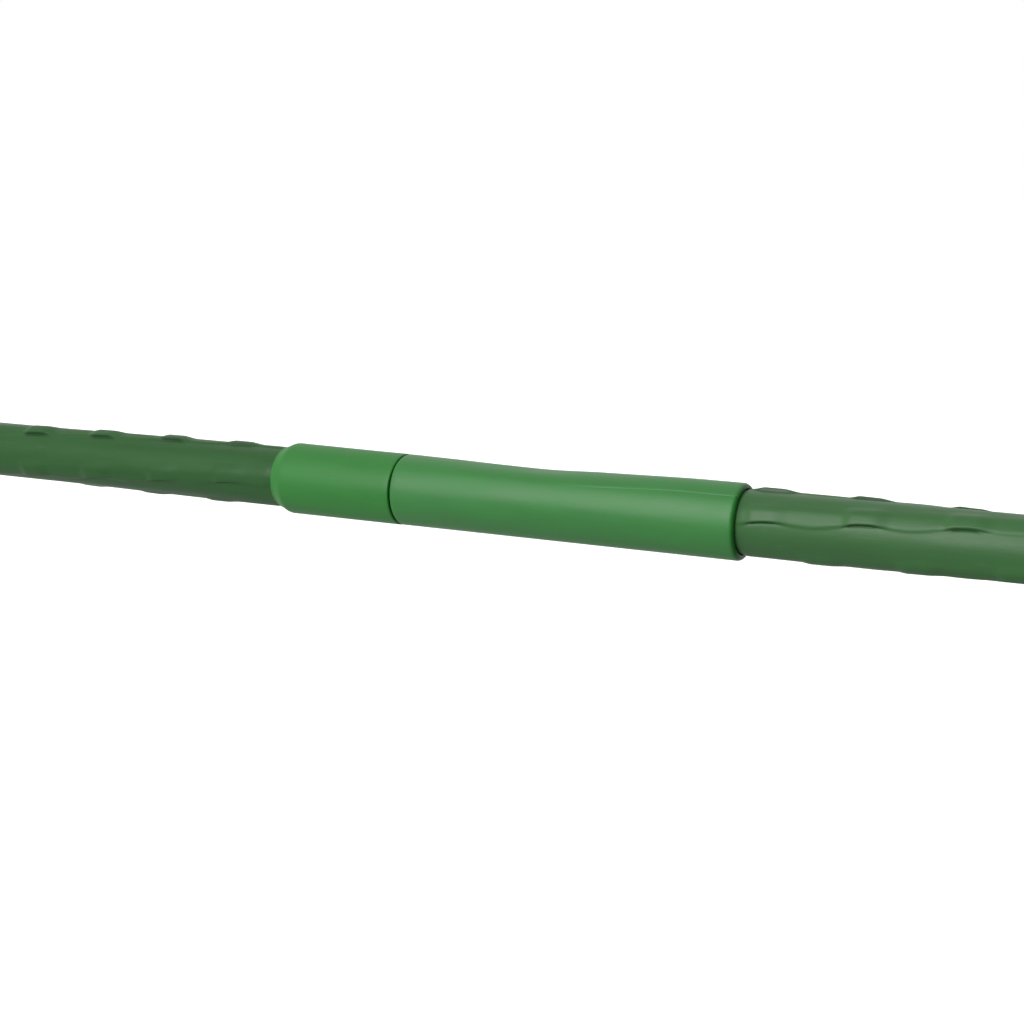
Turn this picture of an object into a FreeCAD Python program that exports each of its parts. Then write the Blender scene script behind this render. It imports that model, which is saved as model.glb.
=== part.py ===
"""A two-section plastic-coated steel garden stake, joined end to end by a push-fit plastic coupling.

The stake lies along X, with +Z up and the origin at the middle of its overall box. The lower section, with
the ground spike, is at +X and carries the coupling's sleeve. The upper section, with the domed cap, is at -X
and sits in the collar of the coupling's plug. Pulling the upper section towards -X draws the plug's spigot
out of the sleeve, and the upper tube turns in the collar. All sizes are in millimetres.
"""

import math
import os

import FreeCAD, Part
import Sketcher

Vector = FreeCAD.Vector
Rotation = FreeCAD.Rotation

DIMENSIONS = {
    # Tubes: a thin steel core inside a moulded plastic coating.
    "tube_length": 400,
    "tube_outer": 11.0,
    "core_outer": 10.2,
    "core_bore": 9.2,
    # Grip bumps, in four rows that wind slowly round the coating.
    "bump_pitch": 16.2,
    "bump_height": 0.6,
    "bump_radius": 1.9,
    "bump_flat": 4.0,
    "bump_length": 7.6,
    "bump_sink": 0.15,
    "row_twist": 0.63,
    # Coupling plug: a collar with a cup for the upper tube, and a hollow spigot.
    "collar_outer": 13.6,
    "collar_length": 26.2,
    "collar_lip": 11.9,
    "shoulder_length": 3.0,
    "shoulder_round": 2.0,
    "cup_depth": 23,
    "plug_web": 3,
    "spigot_outer": 10.2,
    "spigot_length": 32,
    "spigot_bore": 7.0,
    "spigot_lead": 0.8,
    # Coupling sleeve: a spigot bore, a stop ring and a socket for the lower tube, with a shallow dip on top.
    "sleeve_outer": 13.5,
    "sleeve_length": 65.8,
    "socket_depth": 30,
    "stop_bore": 8.0,
    "stop_width": 3,
    "rim_round": 0.8,
    "seam_round": 0.25,
    "dip_centre": 25,
    "dip_depth": 0.8,
    "dip_radius": 600,
    # Gaps of the two moving fits.
    "running_gap": 0.05,
    "seam_gap": 0.3,
    "cup_play": 0.3,
    # Domed cap over the upper tube's free end.
    "cap_outer": 12.4,
    "cap_length": 15,
    "cap_crown": 2.4,
    "cap_round": 5.0,
    "cap_mouth_round": 0.4,
    # Pointed shoe over the lower tube's free end.
    "shoe_outer": 12.6,
    "shoe_cover": 20,
    "shoe_mouth_round": 0.4,
    "spike_length": 32,
    "spike_tip": 2.4,
    "spike_tip_round": 1.0,
}

# Positions along X that follow from the sizes above, worked out by the sheet.
DERIVED = {
    "left_reach": "=seam_gap + collar_length - cup_depth + cup_play + tube_length + cap_crown",
    "right_reach": "=sleeve_length - socket_depth + tube_length + spike_length",
    "seam_at": "=(left_reach - right_reach) / 2",
    "plug_at": "=seam_at - seam_gap - collar_length",
    "upper_tube_at": "=plug_at + cup_depth - cup_play - tube_length",
    "lower_tube_at": "=seam_at + sleeve_length - socket_depth",
}

# Where each section's rows of bumps lie. The angle at the seam is in degrees from -Y towards +Z, and the
# first and last bumps are measured from the seam. Each row has an angle of its own, added to the section's,
# and a lag behind the first bump, as a share of the pitch.
UPPER_ROWS = {
    "angle_at_seam": 42.4,
    "first": -376.6,
    "last": -36.4,
    "rows": ((-14, 0), (82, 0), (166, 0.5), (262, 0.7)),
}
LOWER_ROWS = {
    "angle_at_seam": -15.2,
    "first": 70.9,
    "last": 394.9,
    "rows": ((0, 0), (85, 0), (180, 0.5), (265, 0.55)),
}

doc = FreeCAD.newDocument("garden_stake")
dims = doc.addObject("Spreadsheet::Sheet", "dims")
for row, (alias, content) in enumerate({**DIMENSIONS, **DERIVED}.items(), start=1):
    dims.set(f"A{row}", alias)
    dims.set(f"B{row}", str(content))
    dims.setAlias(f"B{row}", alias)
doc.recompute()


def number(formula):
    """The present value of a formula such as "dims.tube_outer / 2"."""
    found = dims.evalExpression(formula)
    return float(getattr(found, "Value", found))


def origin_plane(body, role):
    return next(feature for feature in body.Origin.OriginFeatures if feature.Role == role)


def new_sketch(body, name, role):
    sketch = body.newObject("Sketcher::SketchObject", name)
    sketch.AttachmentSupport = (origin_plane(body, role), [""])
    sketch.MapMode = "FlatFace"
    return sketch


def hold(sketch, corner, axis, formula):
    """Ties one corner's distance from the sketch's origin to a formula, or "0" puts it on the axis."""
    if formula == "0":
        on_axis = -2 if axis == "DistanceX" else -1
        sketch.addConstraint(Sketcher.Constraint("PointOnObject", corner, 1, on_axis))
        return
    index = sketch.addConstraint(Sketcher.Constraint(axis, -1, 1, corner, 1, number(formula)))
    name = f"corner{corner}_{axis[-1].lower()}"
    sketch.renameConstraint(index, name)
    sketch.setExpression(f"Constraints.{name}", formula)


def turned_body(name, outline, place):
    """A body turned about X from an outline of (distance along X, radius) corners, each a formula."""
    body = doc.addObject("PartDesign::Body", name)
    sketch = new_sketch(body, f"{name}_outline", "XZ_Plane")
    corners = [Vector(number(along), number(radius), 0) for along, radius in outline]
    count = len(corners)
    for i in range(count):
        sketch.addGeometry(Part.LineSegment(corners[i], corners[(i + 1) % count]))
    for i in range(count):
        sketch.addConstraint(Sketcher.Constraint("Coincident", i, 2, (i + 1) % count, 1))
    for i, (along, radius) in enumerate(outline):
        hold(sketch, i, "DistanceX", along)
        hold(sketch, i, "DistanceY", radius)
    turned = body.newObject("PartDesign::Revolution", f"{name}_turned")
    turned.Profile = sketch
    turned.ReferenceAxis = (sketch, ["H_Axis"])
    turned.Angle = 360
    body.setExpression("Placement.Base.x", place)
    doc.recompute()
    return body


def round_edge(body, along, radius, size):
    """Rounds the circular edge at one distance along X and one radius."""
    base = body.Tip
    wanted = [
        f"Edge{i}"
        for i, edge in enumerate(base.Shape.Edges, start=1)
        if isinstance(edge.Curve, Part.Circle)
        and abs(edge.Curve.Radius - number(radius)) < 1e-4
        and abs(edge.Curve.Center.x - number(along)) < 1e-4
    ]
    fillet = body.newObject("PartDesign::Fillet", f"{body.Name}_round{len(body.Group)}")
    fillet.Base = (base, wanted)
    fillet.setExpression("Radius", size)
    doc.recompute()


def make_male_plug():
    tip = "dims.collar_length + dims.seam_gap + dims.spigot_length"
    cup = "dims.tube_outer / 2 + dims.running_gap"
    outline = [
        ("0", cup),
        ("0", "dims.collar_lip / 2"),
        ("dims.shoulder_length", "dims.collar_outer / 2"),
        ("dims.collar_length", "dims.collar_outer / 2"),
        ("dims.collar_length", "dims.spigot_outer / 2"),
        (f"{tip} - dims.spigot_lead", "dims.spigot_outer / 2"),
        (tip, "dims.spigot_outer / 2 - dims.spigot_lead"),
        (tip, "dims.spigot_bore / 2"),
        ("dims.cup_depth + dims.plug_web", "dims.spigot_bore / 2"),
        ("dims.cup_depth + dims.plug_web", "0"),
        ("dims.cup_depth", "0"),
        ("dims.cup_depth", cup),
    ]
    body = turned_body("male_plug", outline, "dims.plug_at")
    round_edge(body, "dims.shoulder_length", "dims.collar_outer / 2", "dims.shoulder_round")
    round_edge(body, "dims.collar_length", "dims.collar_outer / 2", "dims.seam_round")
    return body


def make_socket_sleeve():
    length = "dims.sleeve_length"
    socket_floor = "dims.sleeve_length - dims.socket_depth"
    spigot_room = "dims.spigot_outer / 2 + dims.running_gap"
    outline = [
        ("0", spigot_room),
        ("0", "dims.sleeve_outer / 2"),
        (length, "dims.sleeve_outer / 2"),
        (length, "dims.tube_outer / 2"),
        (socket_floor, "dims.tube_outer / 2"),
        (socket_floor, "dims.stop_bore / 2"),
        (f"{socket_floor} - dims.stop_width", "dims.stop_bore / 2"),
        (f"{socket_floor} - dims.stop_width", spigot_room),
    ]
    body = turned_body("socket_sleeve", outline, "dims.seam_at")
    round_edge(body, "0", "dims.sleeve_outer / 2", "dims.seam_round")
    round_edge(body, length, "dims.sleeve_outer / 2", "dims.rim_round")
    # The shallow dip on top is the mark of one large circle, cut straight across the sleeve.
    sketch = new_sketch(body, "dip_outline", "XZ_Plane")
    height = "dims.sleeve_outer / 2 - dims.dip_depth + dims.dip_radius"
    centre = Vector(number("dims.dip_centre"), number(height), 0)
    sketch.addGeometry(Part.Circle(centre, Vector(0, 0, 1), number("dims.dip_radius")))
    measures = (
        ("dip_x", Sketcher.Constraint("DistanceX", -1, 1, 0, 3, centre.x), "dims.dip_centre"),
        ("dip_y", Sketcher.Constraint("DistanceY", -1, 1, 0, 3, centre.y), height),
        ("dip_r", Sketcher.Constraint("Radius", 0, number("dims.dip_radius")), "dims.dip_radius"),
    )
    for name, constraint, formula in measures:
        sketch.renameConstraint(sketch.addConstraint(constraint), name)
        sketch.setExpression(f"Constraints.{name}", formula)
    before = body.Shape.Volume
    dip = body.newObject("PartDesign::Pocket", "dip")
    dip.Profile = sketch
    dip.Type = "Length"
    dip.Midplane = True
    dip.setExpression("Length", "2 * dims.sleeve_outer")
    doc.recompute()
    if not body.Shape.Volume < before:
        raise RuntimeError("the sleeve's dip cuts nothing")
    return body


def make_core_tube(name, place):
    outline = [
        ("0", "dims.core_bore / 2"),
        ("0", "dims.core_outer / 2"),
        ("dims.tube_length", "dims.core_outer / 2"),
        ("dims.tube_length", "dims.core_bore / 2"),
    ]
    return turned_body(name, outline, place)


def make_bump():
    """One grip bump, lying along X at the origin: a small cylinder that tapers at both ends."""
    radius = number("dims.bump_radius")
    end_radius = radius - number("dims.bump_height") - number("dims.bump_sink")
    flat = number("dims.bump_flat")
    taper = (number("dims.bump_length") - flat) / 2
    along = Vector(1, 0, 0)
    middle = Part.makeCylinder(radius, flat, Vector(-flat / 2, 0, 0), along)
    front = Part.makeCone(end_radius, radius, taper, Vector(-flat / 2 - taper, 0, 0), along)
    back = Part.makeCone(radius, end_radius, taper, Vector(flat / 2, 0, 0), along)
    return middle.fuse([front, back])


def bump_places(rows):
    """The distance from the seam and the angle in degrees of every bump on one section."""
    pitch, twist = number("dims.bump_pitch"), number("dims.row_twist")
    for row_angle, lag in rows["rows"]:
        distance = rows["first"] + lag * pitch
        while distance <= rows["last"] + 0.01:
            yield distance, rows["angle_at_seam"] + row_angle + twist * distance
            distance += pitch


def make_coating(name, place, rows):
    """The plastic coating: a plain tube with the winding rows of bumps fused onto it.

    No pattern feature turns its copies while it steps them along an axis, so this shape is put together here.
    """
    length, seam = number("dims.tube_length"), number("dims.seam_at")
    sink = number("dims.tube_outer") / 2 + number("dims.bump_height") - number("dims.bump_radius")
    bump, start = make_bump(), number(place)
    bumps = []
    for distance, angle in bump_places(rows):
        # Measured from -Y towards +Z, so a turn of minus the angle about X.
        turn = Rotation(Vector(1, 0, 0), -angle)
        middle = Vector(seam + distance - start, 0, 0) + turn.multVec(Vector(0, -sink, 0))
        copy = bump.copy()
        copy.Placement = FreeCAD.Placement(middle, turn)
        bumps.append(copy)
    along = Vector(1, 0, 0)
    outside = Part.makeCylinder(number("dims.tube_outer") / 2, length, Vector(), along).fuse(bumps)
    bore = Part.makeCylinder(number("dims.core_outer") / 2, length, Vector(), along)
    coating = doc.addObject("Part::Feature", name)
    coating.Shape = outside.cut(bore)
    coating.Placement = FreeCAD.Placement(Vector(start, 0, 0), Rotation())
    return coating


def make_top_cap():
    outline = [
        ("0", "0"),
        ("0", "dims.cap_outer / 2"),
        ("dims.cap_length", "dims.cap_outer / 2"),
        ("dims.cap_length", "dims.tube_outer / 2"),
        ("dims.cap_crown", "dims.tube_outer / 2"),
        ("dims.cap_crown", "0"),
    ]
    body = turned_body("top_cap", outline, "dims.upper_tube_at - dims.cap_crown")
    round_edge(body, "0", "dims.cap_outer / 2", "dims.cap_round")
    round_edge(body, "dims.cap_length", "dims.cap_outer / 2", "dims.cap_mouth_round")
    return body


def make_ground_spike():
    tip = "dims.shoe_cover + dims.spike_length"
    outline = [
        ("0", "dims.tube_outer / 2"),
        ("0", "dims.shoe_outer / 2"),
        ("dims.shoe_cover", "dims.shoe_outer / 2"),
        (tip, "dims.spike_tip / 2"),
        (tip, "0"),
        ("dims.shoe_cover", "0"),
        ("dims.shoe_cover", "dims.tube_outer / 2"),
    ]
    body = turned_body("ground_spike", outline, "dims.lower_tube_at + dims.tube_length - dims.shoe_cover")
    round_edge(body, "0", "dims.shoe_outer / 2", "dims.shoe_mouth_round")
    round_edge(body, tip, "dims.spike_tip / 2", "dims.spike_tip_round")
    return body


sub_parts = [
    make_core_tube("upper_core_tube", "dims.upper_tube_at"),
    make_coating("upper_coating", "dims.upper_tube_at", UPPER_ROWS),
    make_top_cap(),
    make_male_plug(),
    make_socket_sleeve(),
    make_core_tube("lower_core_tube", "dims.lower_tube_at"),
    make_coating("lower_coating", "dims.lower_tube_at", LOWER_ROWS),
    make_ground_spike(),
]
doc.recompute()

failed = [o.Name for o in doc.Objects if "Invalid" in o.State or "Error" in o.State]
if failed:
    raise RuntimeError(f"these objects failed: {failed}")
for part in sub_parts:
    if part.Shape.isNull() or not part.Shape.isValid() or len(part.Shape.Solids) != 1:
        raise RuntimeError(f"{part.Label} is not one valid solid")

os.makedirs("parts", exist_ok=True)
for part in sub_parts:
    part.Shape.exportStep(f"parts/{part.Label}.step")
    box = part.Shape.BoundBox
    print(f"{part.Label}: x {box.XMin:.2f} to {box.XMax:.2f}, volume {part.Shape.Volume:.1f}")
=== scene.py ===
"""Looks of a two-section, plastic-coated garden stake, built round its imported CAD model.

The stake lies along X. Distances along it are measured from the seam of its coupling, and angles round it
from -Y, the side that faces the camera, up towards +Z. Shapes are worked out in millimetres and degrees.
They are turned into metres when a mesh is made.
"""

import math

import bpy
import numpy as np
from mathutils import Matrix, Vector


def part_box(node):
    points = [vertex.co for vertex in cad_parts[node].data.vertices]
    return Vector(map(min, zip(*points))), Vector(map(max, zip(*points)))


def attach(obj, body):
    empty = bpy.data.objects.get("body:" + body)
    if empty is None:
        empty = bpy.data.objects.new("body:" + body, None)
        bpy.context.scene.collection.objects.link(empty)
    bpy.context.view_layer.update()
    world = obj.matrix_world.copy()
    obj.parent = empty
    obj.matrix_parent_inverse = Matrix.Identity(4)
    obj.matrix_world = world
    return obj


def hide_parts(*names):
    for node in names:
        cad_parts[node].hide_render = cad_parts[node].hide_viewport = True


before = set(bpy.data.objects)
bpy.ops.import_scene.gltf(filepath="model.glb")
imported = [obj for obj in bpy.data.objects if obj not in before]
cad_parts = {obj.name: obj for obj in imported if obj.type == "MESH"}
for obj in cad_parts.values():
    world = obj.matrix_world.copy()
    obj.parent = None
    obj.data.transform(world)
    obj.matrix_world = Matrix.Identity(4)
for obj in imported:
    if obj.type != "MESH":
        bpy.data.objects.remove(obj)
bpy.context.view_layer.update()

MM = 0.001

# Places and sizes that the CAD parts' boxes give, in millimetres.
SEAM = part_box("socket_sleeve")[0].x / MM
SLEEVE_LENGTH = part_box("socket_sleeve")[1].x / MM - SEAM
SLEEVE_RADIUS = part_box("socket_sleeve")[1].y / MM
COLLAR_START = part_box("male_plug")[0].x / MM - SEAM
SPIGOT_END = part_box("male_plug")[1].x / MM - SEAM
COLLAR_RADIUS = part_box("male_plug")[1].y / MM
UPPER_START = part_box("upper_core_tube")[0].x / MM - SEAM
UPPER_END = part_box("upper_core_tube")[1].x / MM - SEAM
LOWER_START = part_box("lower_core_tube")[0].x / MM - SEAM
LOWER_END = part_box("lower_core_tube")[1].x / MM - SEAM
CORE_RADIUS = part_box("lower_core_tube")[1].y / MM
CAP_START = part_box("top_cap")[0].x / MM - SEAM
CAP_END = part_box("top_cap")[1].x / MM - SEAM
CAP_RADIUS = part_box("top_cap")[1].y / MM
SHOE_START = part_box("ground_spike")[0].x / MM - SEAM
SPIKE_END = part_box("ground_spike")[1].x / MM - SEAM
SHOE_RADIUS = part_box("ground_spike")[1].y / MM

# Sizes inside the CAD parts, which no box gives.
TUBE_RADIUS = 5.5
CUP_RADIUS = 5.55
CUP_DEPTH = 23.0
PLUG_WEB = 3.0
SEAM_GAP = 0.3
SPIGOT_RADIUS = 5.1
SPIGOT_BORE = 3.5
SPIGOT_LEAD = 0.8
SPIGOT_ROOM = 5.15
SOCKET_DEPTH = 30.0
STOP_WIDTH = 3.0
STOP_RADIUS = 4.0
CAP_CROWN = 2.4
SHOE_COVER = 20.0
TIP_RADIUS = 1.2

# Rows of grip bumps, as on the CAD coatings. "first" and "last" are the middles of the end bumps. "rows"
# gives each row's angle on top of the section's, its lag behind "first" as a share of the pitch, and how
# strongly its bumps are pressed.
PITCH = 16.2
ROW_TWIST = 0.63
UPPER_BUMPS = {
    "angle_at_seam": 42.4,
    "first": -376.6,
    "last": -36.4,
    "rows": ((-14.0, 0.0, 0.6), (82.0, 0.0, 1.05), (166.0, 0.5, 1.0), (262.0, 0.7, 0.75)),
}
LOWER_BUMPS = {
    "angle_at_seam": -15.2,
    "first": 70.9,
    "last": 394.9,
    "rows": ((0.0, 0.0, 0.9), (85.0, 0.0, 1.0), (180.0, 0.5, 1.0), (265.0, 0.55, 0.65)),
}


# ---------------------------------------------------------------- small helpers


def ease(low, high, value):
    """0 below low, 1 above high, and a smooth rise between them."""
    t = np.clip((value - low) / (high - low), 0.0, 1.0)
    return t * t * (3.0 - 2.0 * t)


def wrapped(degrees):
    """An angle between -180 and 180 degrees."""
    return (degrees + 180.0) % 360.0 - 180.0


def through(points, value):
    """A smooth curve through a few (place, height) points, flat beyond the first and last."""
    places, heights = np.array(points, float).T
    value = np.clip(value, places[0], places[-1])
    i = np.clip(np.searchsorted(places, value) - 1, 0, len(places) - 2)
    slopes = np.gradient(heights, places)
    slopes[0] = slopes[-1] = 0.0
    width = places[i + 1] - places[i]
    t = (value - places[i]) / width
    return (
        heights[i] * (1 + 2 * t) * (1 - t) ** 2
        + heights[i + 1] * t * t * (3 - 2 * t)
        + width * slopes[i] * t * (1 - t) ** 2
        - width * slopes[i + 1] * t * t * (1 - t)
    )


def grid_object(name, along, radius, degrees, caps=(False, False), marks=None):
    """A mesh piece from rings, whose along, radius and degrees are arrays of (rings, columns).

    caps closes the first and the last ring with a disc. Without caps the last ring joins the first, as in a
    closed wall. marks is {attribute name: (rings, columns) values}, for the material to read.
    """
    rings, columns = along.shape
    angle = np.radians(degrees)
    points = np.stack([along + SEAM, -radius * np.cos(angle), radius * np.sin(angle)], axis=-1)
    points = points.reshape(-1, 3) * MM
    column = np.arange(columns)
    after = (column + 1) % columns
    faces = []
    for ring in range(rings if not any(caps) else rings - 1):
        a, b = ring * columns, ((ring + 1) % rings) * columns
        faces.append(np.stack([a + column, a + after, b + after, b + column], axis=1))
    faces = np.concatenate(faces).tolist()
    if caps[0]:
        faces.append(list(range(columns - 1, -1, -1)))
    if caps[1]:
        faces.append(list(range((rings - 1) * columns, rings * columns)))
    mesh = bpy.data.meshes.new(name)
    mesh.from_pydata(points.tolist(), [], faces)
    mesh.validate()
    for label, values in (marks or {}).items():
        layer = mesh.attributes.new(label, "FLOAT", "POINT")
        layer.data.foreach_set("value", values.astype(np.float32).ravel())
    mesh.shade_smooth()
    piece = bpy.data.objects.new(name, mesh)
    bpy.context.scene.collection.objects.link(piece)
    return piece


def outline(corners, step, arc_parts=5):
    """Points along an open outline of (along, radius, rounding) corners, its runs cut into steps."""
    points = []
    count = len(corners)
    for i, (x, r, rounding) in enumerate(corners):
        here = np.array([x, r])
        if rounding and 0 < i < count - 1:
            before = np.array(corners[i - 1][:2]) - here
            ahead = np.array(corners[i + 1][:2]) - here
            before /= np.linalg.norm(before)
            ahead /= np.linalg.norm(ahead)
            half = math.acos(np.clip(before @ ahead, -1, 1)) / 2
            reach = rounding / math.tan(half)
            centre = here + (before + ahead) / np.linalg.norm(before + ahead) * rounding / math.sin(half)
            first, last = here + before * reach - centre, here + ahead * reach - centre
            turn = math.atan2(first[0] * last[1] - first[1] * last[0], first @ last)
            for k in range(arc_parts + 1):
                a = turn * k / arc_parts
                points.append(
                    centre
                    + [
                        first[0] * math.cos(a) - first[1] * math.sin(a),
                        first[0] * math.sin(a) + first[1] * math.cos(a),
                    ]
                )
        else:
            points.append(here)
    filled = [points[0]]
    for a, b in zip(points, points[1:]):
        parts = max(1, math.ceil(np.linalg.norm(b - a) / step))
        filled += [a + (b - a) * k / parts for k in range(1, parts + 1)]
    return np.array(filled)


# Degrees between the columns of a moulding where they are close together.
FINE_STEP = 0.6


def ring_angles(count, *fine):
    """Angles round a moulding, evenly spaced, and closer together in each (low, high) stretch of fine."""
    angles = np.linspace(0.0, 360.0, count, endpoint=False)
    for low, high in fine:
        outside = angles[(angles < low) | (angles > high)]
        angles = np.concatenate([outside, np.arange(low, high, FINE_STEP)])
    return np.sort(angles)


def turned(name, corners, step, angles, shape, arc_parts=5):
    """A moulding turned about X from its outline. shape(along, radius, degrees) gives its final radius."""
    points = outline(corners, step, arc_parts)
    along = np.repeat(points[:, :1], len(angles), axis=1)
    radius = np.repeat(points[:, 1:], len(angles), axis=1)
    degrees = np.repeat(angles[None, :], len(points), axis=0)
    radius = shape(along, radius, degrees)
    closed = np.allclose(points[0], points[-1])
    if closed:
        along, radius, degrees = along[:-1], radius[:-1], degrees[:-1]
    piece = grid_object(name, along, radius, degrees, caps=(not closed, not closed))
    piece.data.set_sharp_from_angle(angle=math.radians(40))
    return piece


def place(piece, body, slot, material, *nodes):
    """Gives a piece its material and its body, and hides the CAD nodes it stands for. slot is not used."""
    piece.data.materials.clear()
    piece.data.materials.append(material)
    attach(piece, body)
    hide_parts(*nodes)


# ---------------------------------------------------------------- materials


class Nodes:
    """A material's node tree, with short calls for the nodes used here."""

    def __init__(self, name):
        self.material = bpy.data.materials.new(name)
        self.material.use_nodes = True
        self.tree = self.material.node_tree
        self.shader = self.tree.nodes["Principled BSDF"]
        self.place = self.tree.nodes.new("ShaderNodeTexCoord").outputs["Object"]

    def link(self, source, target):
        self.tree.links.new(source, target)

    def stretched(self, scale):
        """The piece's own coordinates, scaled per axis."""
        mapping = self.tree.nodes.new("ShaderNodeMapping")
        mapping.inputs["Scale"].default_value = scale
        self.link(self.place, mapping.inputs["Vector"])
        return mapping.outputs["Vector"]

    def noise(self, scale, detail=3.0, roughness=0.55):
        """Noise whose scale is given per axis, in repeats per metre."""
        node = self.tree.nodes.new("ShaderNodeTexNoise")
        node.inputs["Scale"].default_value = 1.0
        node.inputs["Detail"].default_value = detail
        node.inputs["Roughness"].default_value = roughness
        self.link(self.stretched(scale), node.inputs["Vector"])
        return node.outputs["Fac"]

    def ramp(self, source, stops):
        """A colour ramp between two (position, colour) stops."""
        node = self.tree.nodes.new("ShaderNodeValToRGB")
        for end, (position, colour) in zip(node.color_ramp.elements, stops):
            end.position = position
            end.color = (*colour, 1.0)
        self.link(source, node.inputs["Fac"])
        return node.outputs["Color"]

    def scaled(self, source, low, high, from_low=0.3, from_high=0.7):
        """A value spread from low to high."""
        node = self.tree.nodes.new("ShaderNodeMapRange")
        node.inputs["From Min"].default_value = from_low
        node.inputs["From Max"].default_value = from_high
        node.inputs["To Min"].default_value = low
        node.inputs["To Max"].default_value = high
        self.link(source, node.inputs["Value"])
        return node.outputs["Result"]

    def mixed(self, share, first, second):
        """Two colours mixed by a value. Either may be a socket or a fixed colour."""
        node = self.tree.nodes.new("ShaderNodeMix")
        node.data_type = "RGBA"
        self.link(share, node.inputs[0])
        for socket, colour in ((node.inputs[6], first), (node.inputs[7], second)):
            if isinstance(colour, tuple):
                socket.default_value = (*colour, 1.0)
            else:
                self.link(colour, socket)
        return node.outputs[2]

    def attribute(self, name):
        node = self.tree.nodes.new("ShaderNodeAttribute")
        node.attribute_name = name
        return node.outputs["Fac"]

    def bumps(self, *heights):
        """Bump nodes in a chain, from (height socket, distance in metres, strength) triples."""
        normal = None
        for height, distance, strength in heights:
            node = self.tree.nodes.new("ShaderNodeBump")
            node.inputs["Distance"].default_value = distance
            node.inputs["Strength"].default_value = strength
            self.link(height, node.inputs["Height"])
            if normal:
                self.link(normal, node.inputs["Normal"])
            normal = node.outputs["Normal"]
        self.link(normal, self.shader.inputs["Normal"])


def moulded_plastic(name, dark, light, scuff, roughness, grain, gloss):
    """Satin moulded plastic: a cloudy, faintly streaked colour, a fine grain and pale handling scuffs."""
    m = Nodes(name)
    clouds = m.noise((90, 260, 260), detail=4)
    streaks = m.noise((25, 1400, 1400), detail=3)
    body = m.mixed(m.scaled(clouds, 0.0, 1.0), dark, light)
    body = m.mixed(m.scaled(streaks, 0.0, 0.22, 0.45, 0.8), body, light)
    scuffs = m.noise((160, 700, 700), detail=8, roughness=0.75)
    body = m.mixed(m.scaled(scuffs, 0.0, 0.35, 0.62, 0.8), body, scuff)
    m.link(body, m.shader.inputs["Base Color"])
    m.link(m.scaled(clouds, roughness - 0.05, roughness + 0.05), m.shader.inputs["Roughness"])
    m.bumps(
        (m.noise((2600, 2600, 2600), detail=2), 0.00003, grain),
        (m.noise((70, 420, 420), detail=2), 0.00012, 0.35),
    )
    m.shader.inputs["Specular IOR Level"].default_value = gloss
    m.shader.inputs["IOR"].default_value = 1.5
    return m.material


def coating_plastic(name, dark, light, bloom, shade_under_bumps, roughness, gloss):
    """Extruded coating: dull green with fine drawn lines, a dusty bloom and painted shade in the crease
    under each bump.
    """
    m = Nodes(name)
    clouds = m.noise((60, 300, 300), detail=4)
    lines = m.noise((12, 2200, 2200), detail=2)
    body = m.mixed(m.scaled(clouds, 0.0, 1.0), dark, light)
    body = m.mixed(m.scaled(lines, 0.0, 0.3, 0.42, 0.75), body, light)
    dust = m.noise((240, 900, 900), detail=9, roughness=0.7)
    body = m.mixed(m.scaled(dust, 0.0, 0.4, 0.58, 0.8), body, bloom)
    # Painted shade: the crease under each bump is darkened where the mesh attribute marks it.
    body = m.mixed(m.attribute("bump_shade"), body, shade_under_bumps)
    m.link(body, m.shader.inputs["Base Color"])
    m.link(m.scaled(clouds, roughness - 0.06, roughness + 0.06), m.shader.inputs["Roughness"])
    m.bumps(
        (m.noise((3000, 3000, 3000), detail=2), 0.00003, 0.25),
        (lines, 0.00004, 0.3),
        (m.noise((110, 500, 500), detail=3), 0.00015, 0.45),
    )
    m.shader.inputs["Specular IOR Level"].default_value = gloss
    m.shader.inputs["IOR"].default_value = 1.5
    return m.material


def steel(name):
    """Bright rolled steel strip with lengthwise rolling lines."""
    m = Nodes(name)
    lines = m.noise((15, 3000, 3000), detail=3)
    body = m.ramp(lines, ((0.3, (0.42, 0.43, 0.44)), (0.7, (0.62, 0.63, 0.64))))
    m.link(body, m.shader.inputs["Base Color"])
    m.link(m.scaled(lines, 0.28, 0.45), m.shader.inputs["Roughness"])
    m.shader.inputs["Metallic"].default_value = 1.0
    m.bumps((lines, 0.00003, 0.3))
    return m.material


SLEEVE_PLASTIC = moulded_plastic(
    "sleeve_green",
    dark=(0.009, 0.126, 0.013),
    light=(0.011, 0.144, 0.016),
    scuff=(0.06, 0.2, 0.06),
    roughness=0.45,
    grain=0.25,
    gloss=0.5,
)
PLUG_PLASTIC = moulded_plastic(
    "plug_green",
    dark=(0.010, 0.130, 0.012),
    light=(0.012, 0.148, 0.015),
    scuff=(0.06, 0.2, 0.06),
    roughness=0.5,
    grain=0.3,
    gloss=0.38,
)
# The two coatings are one plastic. The upper one's darker colours are painted shade, and the lower one's
# lighter colours are painted light.
UPPER_COATING = coating_plastic(
    "upper_coating_green",
    dark=(0.005, 0.057, 0.004),
    light=(0.008, 0.070, 0.008),
    bloom=(0.03, 0.09, 0.03),
    # The colour of the painted shade under the bumps.
    shade_under_bumps=(0.003, 0.024, 0.003),
    roughness=0.48,
    gloss=0.3,
)
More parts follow.
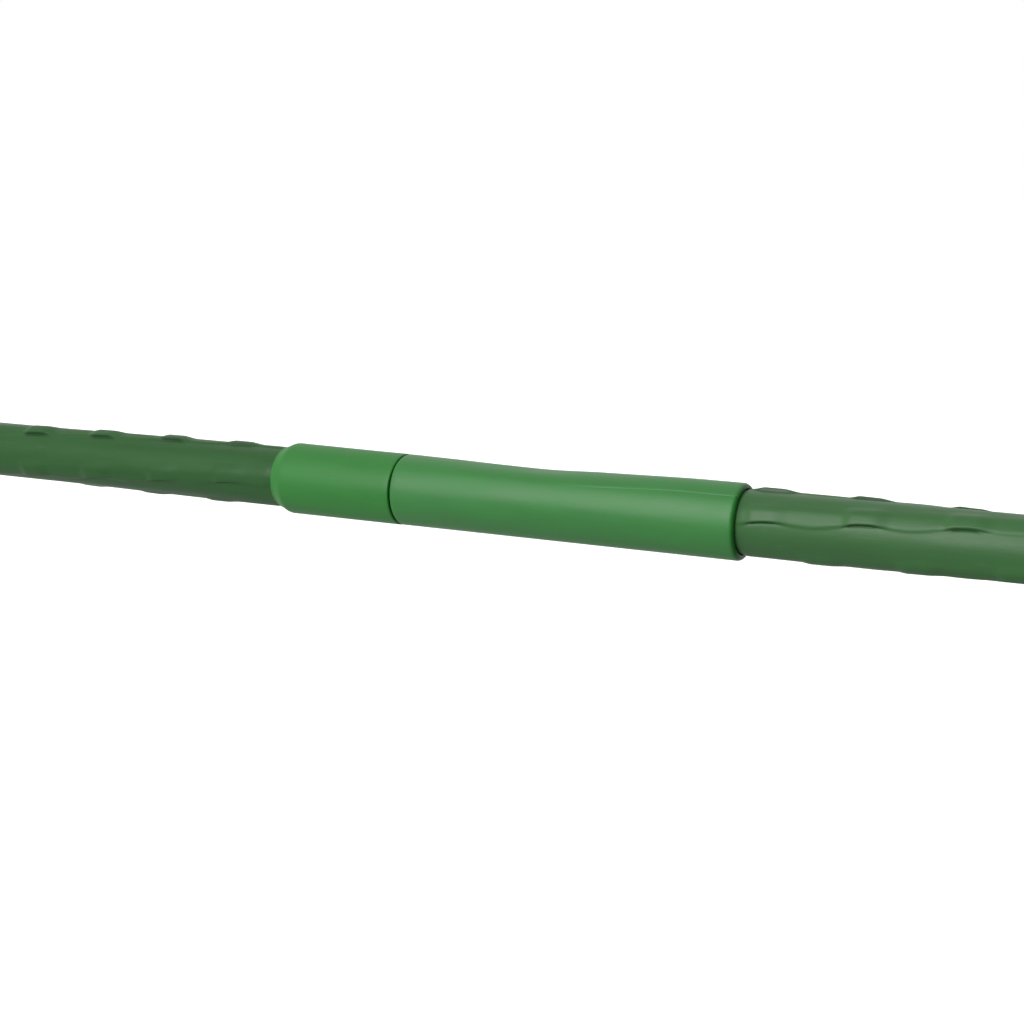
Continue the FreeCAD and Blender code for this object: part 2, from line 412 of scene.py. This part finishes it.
# Lighter than the upper coating as painted light; the plastic is the same.
LOWER_COATING = coating_plastic(
    "lower_coating_green",
    dark=(0.007, 0.071, 0.006),
    light=(0.010, 0.086, 0.009),
    bloom=(0.05, 0.12, 0.05),
    # The colour of the painted shade under the bumps.
    shade_under_bumps=(0.003, 0.020, 0.003),
    roughness=0.47,
    gloss=0.5,
)
END_PLASTIC = moulded_plastic(
    "end_green",
    dark=(0.006, 0.048, 0.006),
    light=(0.008, 0.06, 0.008),
    scuff=(0.04, 0.09, 0.04),
    roughness=0.5,
    grain=0.25,
    gloss=0.5,
)
STEEL = steel("core_steel")


# ---------------------------------------------------------------- coated tubes

# A bump's height, and its rise and longer run-out along the tube from its middle.
BUMP_HEIGHT = 0.42
BUMP_RISE = (-3.9, -1.8)
BUMP_FALL = (1.0, 4.6)

# The height of the low band that a row stands on, and the length of the ramps at the band's ends.
BAND_HEIGHT = 0.25
BAND_LEAD = 1.2

# Across a row, from its middle line: the lower edge, how far that edge waves up and down along the row,
# and the fall behind the crest. The step at the edge is soft between bumps and sharp under them.
ROW_EDGE = -1.75
EDGE_WAVE = 0.34
CREST_FALL = (0.3, 2.5)
SOFT_STEP = 0.44
SHARP_STEP = 0.12

# The fine groove pressed in below each bump's edge, and the painted shade in it.
GROOVE_DEPTH = 0.12
GROOVE_BELOW = 0.18
GROOVE_WIDTH = 0.12
BUMP_SHADE_BELOW = 0.06
BUMP_SHADE_WIDTH = 0.1

# How much bumps differ: in height, in how low their edge hangs, and in place along the row.
BUMP_SIZES = (0.84, 1.06)
EDGE_DROP = 0.1
BUMP_SLIP = 0.35


def bump_profile(s):
    """How far up a bump is at s along it: a quick rise, a flat top and a longer run-out."""
    return ease(*BUMP_RISE, s) * (1.0 - ease(*BUMP_FALL, s))


def coating_rings(start, end, first):
    """Distances from the seam for the tube's rings, close together at the ends of the bumps."""
    half = PITCH / 2
    before, rise, fall = -4.1, -1.7, 0.9
    end_room = 0.2
    within = np.concatenate(
        [
            np.linspace(before, rise, 7, endpoint=False),
            np.linspace(rise, fall, 4, endpoint=False),
            np.linspace(fall, half + before, 6, endpoint=False),
        ]
    )
    periods = np.arange(math.floor((start - first) / half) - 1, math.ceil((end - first) / half) + 2)
    rings = (first + periods[:, None] * half + within[None, :]).ravel()
    rings = rings[(rings > start + end_room) & (rings < end - end_room)]
    return np.concatenate([[start], rings, [end]])


class Row:
    """One winding row of bumps on a low band: where its lower edge runs, and how high it stands."""

    # Places of the mesh's columns: from the edge, from the middle line, and evenly between two rows.
    NEAR_EDGE = np.array([-0.9, -0.5, -0.3, -0.2, -0.12, -0.05, 0.02, 0.09, 0.17, 0.27, 0.45, 0.75])
    OVER_TOP = np.linspace(-0.35, 2.6, 8)
    CLEAR_OF_ROWS = 3.4
    PLAIN_COLUMNS = 4

    def __init__(self, along, angle, lag, strength, first, last, band_ends, rng):
        self.angle = angle
        s = along - first - lag * PITCH
        index = np.round(s / PITCH).astype(int)
        count = math.floor((last - first) / PITCH - lag + 0.01) + 1
        at = np.clip(index, 0, count - 1)
        sizes = strength * rng.uniform(*BUMP_SIZES, count)[at]
        drops = rng.uniform(-EDGE_DROP, EDGE_DROP, count)[at]
        slips = rng.uniform(-BUMP_SLIP, BUMP_SLIP, count)[at]
        real = (index >= 0) & (index < count)
        self.up = bump_profile(s - index * PITCH - slips) * sizes * real
        start, end = band_ends
        self.band = ease(start, start + BAND_LEAD, along) * (1.0 - ease(end - BAND_LEAD, end, along))
        self.edge = ROW_EDGE + EDGE_WAVE * np.cos(2.0 * np.pi * s / PITCH) + drops * self.up

    def columns(self, gap):
        """Angles for the mesh across this row, up to the next row's edge, which is gap degrees on."""
        room = math.radians(gap) * TUBE_RADIUS
        plain = np.linspace(self.CLEAR_OF_ROWS, room - self.CLEAR_OF_ROWS, self.PLAIN_COLUMNS)
        fixed = np.concatenate([self.OVER_TOP, plain])[None, :].repeat(len(self.edge), axis=0)
        across = np.concatenate([self.edge[:, None] + self.NEAR_EDGE, fixed], axis=1)
        return self.angle + np.degrees(across / TUBE_RADIUS)

    def relief(self, degrees):
        """Height above the plain tube, and how strong the painted shade under each bump is."""
        across = np.radians(wrapped(degrees - self.angle)) * TUBE_RADIUS
        up, band, edge = self.up[:, None], self.band[:, None], self.edge[:, None]
        soft = np.clip(SOFT_STEP - (SOFT_STEP - SHARP_STEP) * up, SHARP_STEP, SOFT_STEP)
        rise = ease(edge - soft, edge + soft, across) * (1.0 - ease(*CREST_FALL, across))
        groove = up * np.exp(-(((across - edge + GROOVE_BELOW) / GROOVE_WIDTH) ** 2))
        # Painted shade along the crease under each bump's edge, stronger where the bump is higher.
        bump_shade = up * np.exp(-(((across - edge + BUMP_SHADE_BELOW) / BUMP_SHADE_WIDTH) ** 2))
        return (BAND_HEIGHT * band + BUMP_HEIGHT * up) * rise - GROOVE_DEPTH * groove, bump_shade


def coated_tube(name, start, end, bumps, band_ends, seed):
    """The plastic coating of one section, a closed wall with its rows of bumps."""
    rng = np.random.default_rng(seed)
    first, last = bumps["first"], bumps["last"]
    rings = coating_rings(start, end, first)
    rows = [Row(rings, *row, first, last, band_ends, rng) for row in bumps["rows"]]
    gaps = [after.angle - row.angle for row, after in zip(rows, rows[1:])]
    gaps.append(360.0 - sum(gaps))
    around = np.concatenate([row.columns(gap) for row, gap in zip(rows, gaps)], axis=1)
    reliefs, bump_shades = zip(*(row.relief(around) for row in rows))
    radius = TUBE_RADIUS + sum(reliefs)
    # How strong the painted shade under the bumps is, for the material to read.
    bump_shade = np.clip(sum(bump_shades), 0.0, 1.0)
    along = rings[:, None].repeat(around.shape[1], axis=1)
    degrees = around + bumps["angle_at_seam"] + ROW_TWIST * along
    inner_along = along[[-1, 0]]
    inner_degrees = degrees[[-1, 0]]
    inner_radius = np.full_like(inner_along, CORE_RADIUS)
    piece = grid_object(
        name,
        np.concatenate([along, inner_along]),
        np.concatenate([radius, inner_radius]),
        np.concatenate([degrees, inner_degrees]),
        marks={"bump_shade": np.concatenate([bump_shade, np.zeros_like(inner_along)])},
    )
    piece.data.set_sharp_from_angle(angle=math.radians(60))
    return piece


upper_skin = coated_tube(
    "upper_coating_skin", UPPER_START, UPPER_END, UPPER_BUMPS, (CAP_END, COLLAR_START), seed=11
)
place(upper_skin, "upper_section", "coating_plastic", UPPER_COATING, "upper_coating")
lower_skin = coated_tube(
    "lower_coating_skin", LOWER_START, LOWER_END, LOWER_BUMPS, (SLEEVE_LENGTH, SHOE_START), seed=12
)
place(lower_skin, "lower_section", "coating_plastic", LOWER_COATING, "lower_coating")

for node in ("upper_core_tube", "lower_core_tube"):
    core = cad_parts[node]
    core.data.materials.clear()
    core.data.materials.append(STEEL)


# ---------------------------------------------------------------- mouldings

# The longest step along an outline, and the radius of the small disc that closes a moulding on its axis.
STEP = 0.8
ON_AXIS = 0.02

# How far outer surfaces lie inside the CAD's, on the coupling and on the cap and shoe.
INSET = 0.03
END_INSET = 0.05

# The parting line: its angle in front, how wide it is, and its height on the cap and shoe.
PARTING_ANGLE = 45.0
PARTING_WIDTH = 1.5
END_LINE = 0.05

# The sleeve's parting line: its height and the step beside it, where along the sleeve it fades in, how
# many degrees it drifts and where, and the stretches of angle that it runs over in front and behind.
SLEEVE_LINE = 0.1
SLEEVE_LINE_STEP = 0.12
LINE_FADE = (30.0, 44.0)
LINE_DRIFT = 7.0
LINE_DRIFTS = (36.0, 56.0)
LINE_STRETCHES = ((41.0, 56.0), (221.0, 236.0))

# The sleeve's rim and its wider mouth.
RIM_ROUND = 0.8
MOUTH_RADIUS = 5.7
MOUTH_DEPTH = 2.0

# The dip in the sleeve's top: its depth at distances from the seam, its middle, and how far it reaches to
# both sides, in full and in all.
DIP = ((0, 0.28), (5, 0.36), (10, 0.46), (20, 0.70), (30, 0.79), (39, 0.40), (49, 0.15), (58, 0.0))
DIP_ANGLE = 112.0
DIP_FLAT = 25.0
DIP_REACH = 72.0

# The collar's thin lip and the end of its shoulder.
LIP_RADIUS = 5.9
LIP_WIDTH = 0.55
LIP_SWELL = 0.06
SHOULDER_END = 2.3

# How far the collar's top sinks towards the seam, where that starts, the middle angle, and its reach to
# both sides, in full and in all.
COLLAR_SINK = 0.29
SINK_START = -34.0
SINK_ANGLE = 100.0
SINK_FLAT = 20.0
SINK_REACH = 110.0

# Rounding of the edges at the coupling's seam.
SEAM_ROUND = 0.32

# The cap's moulding gate, a small dimple in the middle of its dome.
GATE_DEPTH = 0.3
GATE_RADIUS = 0.9
GATE_RIM = 1.1


def over(degrees, centre, flat, reach):
    """1 within flat degrees of centre, falling smoothly to 0 at reach."""
    return 1.0 - ease(flat, reach, np.abs(wrapped(degrees - centre)))


def parting_line(degrees, angle, height, step):
    """A fine raised line in front and behind. The half above it is lower by the step."""
    line = np.zeros_like(degrees)
    for side in (angle, angle + 180.0):
        line += height * np.exp(-((wrapped(degrees - side) / PARTING_WIDTH) ** 2))
    return line - step * over(degrees, angle + 90.0, 89.0, 91.0)


def sleeve_shape(along, radius, degrees):
    """The sleeve's radius: dipped on top, with a parting line that fades in towards the rim."""
    outer = ease(MOUTH_RADIUS + 0.25, SLEEVE_RADIUS - 0.1, radius)
    dip = through(DIP, along) * over(degrees, DIP_ANGLE, DIP_FLAT, DIP_REACH)
    angle = PARTING_ANGLE + LINE_DRIFT * ease(*LINE_DRIFTS, along)
    line = parting_line(degrees, angle, SLEEVE_LINE, SLEEVE_LINE_STEP) * ease(*LINE_FADE, along)
    return radius + outer * (line - dip - INSET)


def make_sleeve():
    stop = SLEEVE_LENGTH - SOCKET_DEPTH
    corners = [
        (SLEEVE_LENGTH / 2, SLEEVE_RADIUS, 0),
        (SLEEVE_LENGTH, SLEEVE_RADIUS, RIM_ROUND),
        (SLEEVE_LENGTH, MOUTH_RADIUS, 0.08),
        (SLEEVE_LENGTH - MOUTH_DEPTH, MOUTH_RADIUS, 0),
        (SLEEVE_LENGTH - MOUTH_DEPTH, TUBE_RADIUS, 0),
        (stop, TUBE_RADIUS, 0),
        (stop, STOP_RADIUS, 0.2),
        (stop - STOP_WIDTH, STOP_RADIUS, 0.2),
        (stop - STOP_WIDTH, SPIGOT_ROOM, 0),
        (0.0, SPIGOT_ROOM, 0.15),
        (0.0, SLEEVE_RADIUS, SEAM_ROUND),
        (SLEEVE_LENGTH / 2, SLEEVE_RADIUS, 0),
    ]
    angles = ring_angles(144, *LINE_STRETCHES)
    return turned("socket_sleeve_moulding", corners, STEP, angles, sleeve_shape)


def collar_shape(along, radius, degrees):
    """The plug's radius: the collar's top sinks a little towards the seam."""
    outer = (radius > CUP_RADIUS + 0.1) & (along < 0)
    sunk = COLLAR_SINK * ease(SINK_START, 0.0, along) * over(degrees, SINK_ANGLE, SINK_FLAT, SINK_REACH)
    return radius - outer * (sunk + INSET)


def make_plug():
    cup_floor = COLLAR_START + CUP_DEPTH
    corners = [
        (cup_floor, ON_AXIS, 0),
        (cup_floor, CUP_RADIUS, 0.3),
        (COLLAR_START, CUP_RADIUS, 0.1),
        (COLLAR_START, LIP_RADIUS, 0.25),
        (COLLAR_START + LIP_WIDTH, LIP_RADIUS + LIP_SWELL, 0.5),
        (COLLAR_START + SHOULDER_END, COLLAR_RADIUS, 2.0),
        (-SEAM_GAP, COLLAR_RADIUS, SEAM_ROUND),
        (-SEAM_GAP, SPIGOT_RADIUS, 0.1),
        (SPIGOT_END - 0.9, SPIGOT_RADIUS, 0.3),
        (SPIGOT_END, SPIGOT_RADIUS - SPIGOT_LEAD, 0.2),
        (SPIGOT_END, SPIGOT_BORE, 0.2),
        (cup_floor + PLUG_WEB, SPIGOT_BORE, 0.4),
        (cup_floor + PLUG_WEB, ON_AXIS, 0),
    ]
    return turned("male_plug_moulding", corners, STEP, ring_angles(160), collar_shape)


def end_shape(along, radius, degrees):
    """The radius of the cap or the shoe, with a fine parting line down both sides."""
    outer = radius > TUBE_RADIUS + 0.3
    return radius + outer * (parting_line(degrees, PARTING_ANGLE, END_LINE, 0.0) - END_INSET)


def make_cap():
    corners = [
        (CAP_START + GATE_DEPTH, ON_AXIS, 0),
        (CAP_START + GATE_DEPTH, GATE_RADIUS, 0.1),
        (CAP_START, GATE_RIM, 0.1),
        (CAP_START, CAP_RADIUS, 5.0),
        (CAP_END, CAP_RADIUS, 0.4),
        (CAP_END, TUBE_RADIUS, 0.1),
        (CAP_START + CAP_CROWN, TUBE_RADIUS, 0),
        (CAP_START + CAP_CROWN, ON_AXIS, 0),
    ]
    return turned("top_cap_moulding", corners, STEP, ring_angles(128), end_shape, arc_parts=12)


def make_spike():
    shoulder = SHOE_START + SHOE_COVER
    corners = [
        (shoulder, ON_AXIS, 0),
        (shoulder, TUBE_RADIUS, 0),
        (SHOE_START, TUBE_RADIUS, 0.1),
        (SHOE_START, SHOE_RADIUS, 0.4),
        (shoulder, SHOE_RADIUS, 6.0),
        (SPIKE_END, TIP_RADIUS, 0.9),
        (SPIKE_END, ON_AXIS, 0),
    ]
    return turned("ground_spike_moulding", corners, STEP, ring_angles(128), end_shape, arc_parts=10)


place(make_sleeve(), "lower_section", "coupling_plastic", SLEEVE_PLASTIC, "socket_sleeve")
place(make_plug(), "plug", "coupling_plastic", PLUG_PLASTIC, "male_plug")
place(make_cap(), "upper_section", "end_plastic", END_PLASTIC, "top_cap")
place(make_spike(), "lower_section", "end_plastic", END_PLASTIC, "ground_spike")


# ---------------------------------------------------------------- floor, light and camera

# The point along the stake that the camera and the key light are turned to.
AIM_FROM_SEAM = 21.7

# The camera, in degrees and millimetres.
CAMERA_AZIMUTH = 26.3
CAMERA_ELEVATION = 11.9
CAMERA_DISTANCE = 315.5
CAMERA_LENS = 61.45
CAMERA_SENSOR = 36.0
AIM_HEIGHT = -2.4

# The key light, in degrees, metres and watts.
KEY_AZIMUTH = -14.0
KEY_ELEVATION = 32.0
KEY_DISTANCE = 1.1
KEY_WIDTH = 0.6
KEY_HEIGHT = 1.0
KEY_POWER = 10.4

# The floor: how far below the stake it lies in millimetres, half its side in metres, and its glow.
FLOOR_DEPTH = 150.0
FLOOR_HALF = 6.0
FLOOR_GLOW = 0.5

# The flag past the spike: its place along X and half its side, in metres.
FLAG_X = 1.2
FLAG_HALF = 2.2

# The studio's light from below. It fades in, in place of the even light above, where a direction's Z falls
# from BELOW's second value to its first. Its strength goes up from FLOOR_LIGHT's first value to its second
# where the direction's product with TOWARDS_FRONT goes up from TURN's first value to its second.
BELOW = (-0.95, -0.2)
TOWARDS_FRONT = (-0.6, -0.8, 0.0)
TURN = (-0.4, 1.0)
FLOOR_LIGHT = (0.3, 1.2)


def direction(azimuth, elevation):
    """The way from the stake to a viewer. Azimuth 0 is on the -Y side and turns towards +X."""
    a, e = math.radians(azimuth), math.radians(elevation)
    return Vector((math.sin(a) * math.cos(e), -math.cos(a) * math.cos(e), math.sin(e)))


def stand(thing, azimuth, elevation, aim, distance):
    """Puts a light or a camera at a distance from aim and points it at aim."""
    back = direction(azimuth, elevation)
    thing.location = aim + back * distance
    thing.rotation_mode = "QUATERNION"
    thing.rotation_quaternion = (-back).to_track_quat("-Z", "Y")


def sheet(name, corners, paint, shade):
    """A flat, dull, grey sheet that is part of the studio."""
    material = bpy.data.materials.new(paint)
    material.use_nodes = True
    shader = material.node_tree.nodes["Principled BSDF"]
    shader.inputs["Base Color"].default_value = (shade, shade, shade, 1.0)
    shader.inputs["Roughness"].default_value = 0.9
    mesh = bpy.data.meshes.new(name)
    mesh.from_pydata(corners, [], [(0, 1, 2, 3)])
    mesh.materials.append(material)
    piece = bpy.data.objects.new(name, mesh)
    bpy.context.scene.collection.objects.link(piece)
    return piece


def make_floor():
    """A pale floor with a glow, so that it looks white. It throws no light or shadow on the stake."""
    a, z = FLOOR_HALF, -FLOOR_DEPTH * MM
    corners = [(-a, -a, z), (a, -a, z), (a, a, z), (-a, a, z)]
    floor = sheet("floor", corners, "floor_white", 0.85)
    shader = floor.data.materials[0].node_tree.nodes["Principled BSDF"]
    shader.inputs["Emission Color"].default_value = (1, 1, 1, 1)
    shader.inputs["Emission Strength"].default_value = FLOOR_GLOW
    floor.visible_diffuse = False
    floor.visible_glossy = False
    floor.visible_shadow = False


def make_flag():
    """A dark card past the spike, out of sight, so that faces turned that way stay dark."""
    a, x = FLAG_HALF, FLAG_X
    corners = [(x, -a, -a), (x, a, -a), (x, a, a), (x, -a, a)]
    flag = sheet("flag", corners, "flag_black", 0.02)
    flag.visible_camera = False


def make_key_light():
    light = bpy.data.lights.new("key", "AREA")
    light.shape = "RECTANGLE"
    light.size, light.size_y = KEY_WIDTH, KEY_HEIGHT
    light.energy = KEY_POWER
    lamp = bpy.data.objects.new("key", light)
    bpy.context.scene.collection.objects.link(lamp)
    aim = Vector(((SEAM + AIM_FROM_SEAM) * MM, 0.0, 0.0))
    stand(lamp, KEY_AZIMUTH, KEY_ELEVATION, aim, KEY_DISTANCE)
    lamp.visible_camera = False


def make_camera():
    data = bpy.data.cameras.new("camera")
    data.lens = CAMERA_LENS
    data.sensor_width = CAMERA_SENSOR
    data.clip_start, data.clip_end = 0.01, 50.0
    camera = bpy.data.objects.new("camera", data)
    bpy.context.scene.collection.objects.link(camera)
    aim = Vector((SEAM + AIM_FROM_SEAM, 0.0, AIM_HEIGHT)) * MM
    stand(camera, CAMERA_AZIMUTH, CAMERA_ELEVATION, aim, CAMERA_DISTANCE * MM)
    bpy.context.scene.camera = camera


def spread(tree, source, given, result):
    """A node that turns the given (low, high) range of source into the result range."""
    node = tree.nodes.new("ShaderNodeMapRange")
    node.inputs["From Min"].default_value, node.inputs["From Max"].default_value = given
    node.inputs["To Min"].default_value, node.inputs["To Max"].default_value = result
    tree.links.new(source, node.inputs["Value"])
    return node


def make_world():
    """A white studio. Below the stake it is brighter in front, towards the cap, and dimmer behind."""
    world = bpy.data.worlds.new("studio")
    world.use_nodes = True
    tree = world.node_tree
    way = tree.nodes.new("ShaderNodeTexCoord").outputs["Generated"]
    split = tree.nodes.new("ShaderNodeSeparateXYZ")
    tree.links.new(way, split.inputs["Vector"])
    front = tree.nodes.new("ShaderNodeVectorMath")
    front.operation = "DOT_PRODUCT"
    front.inputs[1].default_value = TOWARDS_FRONT
    tree.links.new(way, front.inputs[0])
    floor_light = spread(tree, front.outputs["Value"], TURN, FLOOR_LIGHT)
    strength = spread(tree, split.outputs["Z"], BELOW, (0.0, 1.0))
    strength.interpolation_type = "SMOOTHSTEP"
    tree.links.new(floor_light.outputs["Result"], strength.inputs["To Min"])
    background = tree.nodes["Background"]
    background.inputs["Color"].default_value = (1.0, 1.0, 1.0, 1.0)
    tree.links.new(strength.outputs["Result"], background.inputs["Strength"])
    bpy.context.scene.world = world
    bpy.context.scene.view_settings.view_transform = "Standard"


make_floor()
make_flag()
make_key_light()
make_camera()
make_world()
